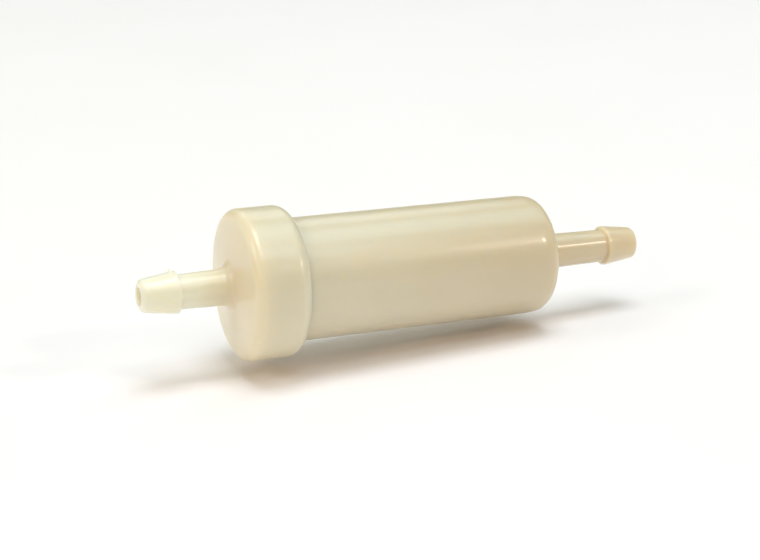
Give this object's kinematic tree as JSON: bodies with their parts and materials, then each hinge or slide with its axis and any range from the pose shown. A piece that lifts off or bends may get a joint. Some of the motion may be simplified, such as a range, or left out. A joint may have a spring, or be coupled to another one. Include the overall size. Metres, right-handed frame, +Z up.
{
  "type": "in-line fuel filter",
  "caption": "In-line fuel filter: a moulded barrel with a snap-fit inlet cap, hose barbs at both ends and a spring-held pleated paper element inside.",
  "frame": {"origin": "on the axis, half way along the length over both hose nozzles", "axes": "+X along the axis in the direction of flow, from the inlet nozzle on the cap to the outlet nozzle; +Z up"},
  "size_m": [0.1014, 0.0282, 0.0282],
  "materials": {
    "nylon_barrel": "natural moulded nylon, satin, slightly translucent",
    "nylon_cap": "natural moulded nylon, satin, slightly translucent",
    "seal_rubber": "smooth moulded nitrile",
    "spring_wire": "drawn stainless wire",
    "nylon_disc": "moulded nylon",
    "potting_resin": "cast adhesive",
    "core_plastic": "moulded polypropylene",
    "mesh_sleeve": "fine woven nylon mesh",
    "filter_paper": "resin-treated pleated paper",
    "clip_metal": "folded strip"
  },
  "bodies": {
    "housing": {"housing_body": "nylon_barrel", "inlet_cap": "nylon_cap", "cap_seal_ring": "seal_rubber", "element_spring": "spring_wire"},
    "filter_element": {"inlet_end_disc": "nylon_disc", "inlet_potting": "potting_resin", "core_tube": "core_plastic", "support_mesh": "mesh_sleeve", "pleated_media": "filter_paper", "media_seam_clip": "clip_metal", "outlet_potting": "potting_resin", "outlet_end_disc": "nylon_disc", "seat_gasket": "seal_rubber"}
  },
  "joints": [
    {"name": "element_lift", "type": "slide", "parent": "housing", "child": "filter_element", "axis": [-1, 0, 0], "range_m": [0, 0.002], "stiffness_N_per_m": 650, "springref_m": -0.003, "deforming": ["element_spring"]}
  ]
}
